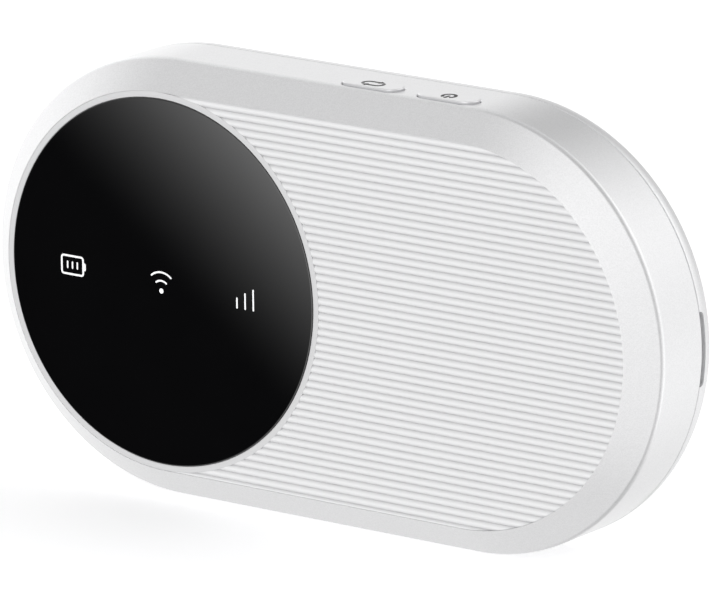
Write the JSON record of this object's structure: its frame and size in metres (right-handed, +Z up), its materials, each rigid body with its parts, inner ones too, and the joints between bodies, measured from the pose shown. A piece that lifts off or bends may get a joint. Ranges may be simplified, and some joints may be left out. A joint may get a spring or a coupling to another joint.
{
  "type": "mobile hotspot",
  "caption": "Flat stadium-shaped pocket hotspot with a round display lens, a ribbed front panel, two top keys, a USB-C port and a removable rear cover.",
  "frame": {"origin": "middle of the foot, halfway through the depth, on the surface it stands on", "axes": "+X along its length, to the right seen from the front; -Y out of its front; +Z up"},
  "size_m": [0.1124, 0.018, 0.0624],
  "materials": {
    "case_white": "satin white paint with a fine sparkling grain",
    "panel_white": "smooth satin white",
    "key_white": "satin white",
    "lens_black": "polished black window, with clear signs lit from behind",
    "tape_black": "black foam tape",
    "film_milky": "milky translucent film",
    "block_black": "moulded black plastic",
    "light_white": "clear resin over a small lamp",
    "board_green": "green lacquered circuit board",
    "chip_black": "moulded black chip case",
    "can_steel": "tinned pressed steel",
    "graphite": "dark graphite-coated foil",
    "port_steel": "drawn stainless steel",
    "port_black": "black moulded plastic",
    "switch_black": "black moulded plastic",
    "plunger_white": "white moulded plastic",
    "chassis_grey": "light grey moulded plastic",
    "screw_steel": "zinc-plated steel",
    "pack_wrap": "dark grey foil wrap with a satin sheen",
    "contact_gold": "gold-plated contact",
    "foam_black": "black foam strip",
    "socket_steel": "pressed stainless steel",
    "card_white": "glossy white card",
    "antenna_copper": "plated copper strip"
  },
  "bodies": {
    "housing": {"front_shell": "case_white", "ribbed_panel": "panel_white", "display_lens": "lens_black", "lens_adhesive": "tape_black", "light_diffuser": "film_milky", "light_shield": "block_black", "status_leds": "light_white", "main_board": "board_green", "modem_chip": "chip_black", "wifi_chip": "chip_black", "power_chip": "chip_black", "memory_chip": "chip_black", "modem_shield": "can_steel", "wifi_shield": "can_steel", "heat_spreader": "graphite", "usb_shell": "port_steel", "usb_tongue": "port_black", "power_switch": "switch_black", "pairing_switch": "switch_black", "reset_switch": "switch_black", "mid_frame": "chassis_grey", "chassis_screws": "screw_steel", "battery_connector": "port_black", "battery_springs": "contact_gold", "sim_socket": "socket_steel", "main_antenna": "antenna_copper", "diversity_antenna": "antenna_copper", "wifi_antenna_upper": "antenna_copper", "wifi_antenna_lower": "antenna_copper", "antenna_clips": "contact_gold"},
    "power_key": {"power_button": "key_white", "power_plunger": "plunger_white"},
    "pairing_key": {"pairing_button": "key_white", "pairing_plunger": "plunger_white"},
    "reset_pin": {"reset_plunger": "plunger_white"},
    "cover": {"rear_cover": "case_white", "battery_pads": "foam_black"},
    "battery": {"battery_pack": "pack_wrap", "battery_contacts": "contact_gold"},
    "card": {"sim_card": "card_white"}
  },
  "joints": [
    {"name": "power_press", "type": "slide", "parent": "housing", "child": "power_key", "axis": [0, 0, -1], "range_m": [0, 0.0004], "stiffness_N_per_m": 400},
    {"name": "pairing_press", "type": "slide", "parent": "housing", "child": "pairing_key", "axis": [0, 0, -1], "range_m": [0, 0.0004], "stiffness_N_per_m": 400},
    {"name": "reset_press", "type": "slide", "parent": "housing", "child": "reset_pin", "axis": [0, -1, 0], "range_m": [0, 0.00025], "stiffness_N_per_m": 400},
    {"name": "cover_pull", "type": "slide", "parent": "housing", "child": "cover", "axis": [0, 1, 0], "range_m": [0, 0.036]},
    {"name": "battery_lift", "type": "slide", "parent": "housing", "child": "battery", "axis": [0, 1, 0], "range_m": [0, 0.018]},
    {"name": "card_slide", "type": "slide", "parent": "housing", "child": "card", "axis": [0, 0, 1], "range_m": [0, 0.009]}
  ],
  "couplings": [
    {"joint": "battery_lift", "follows": "cover_pull", "ratio": 0.5}
  ]
}
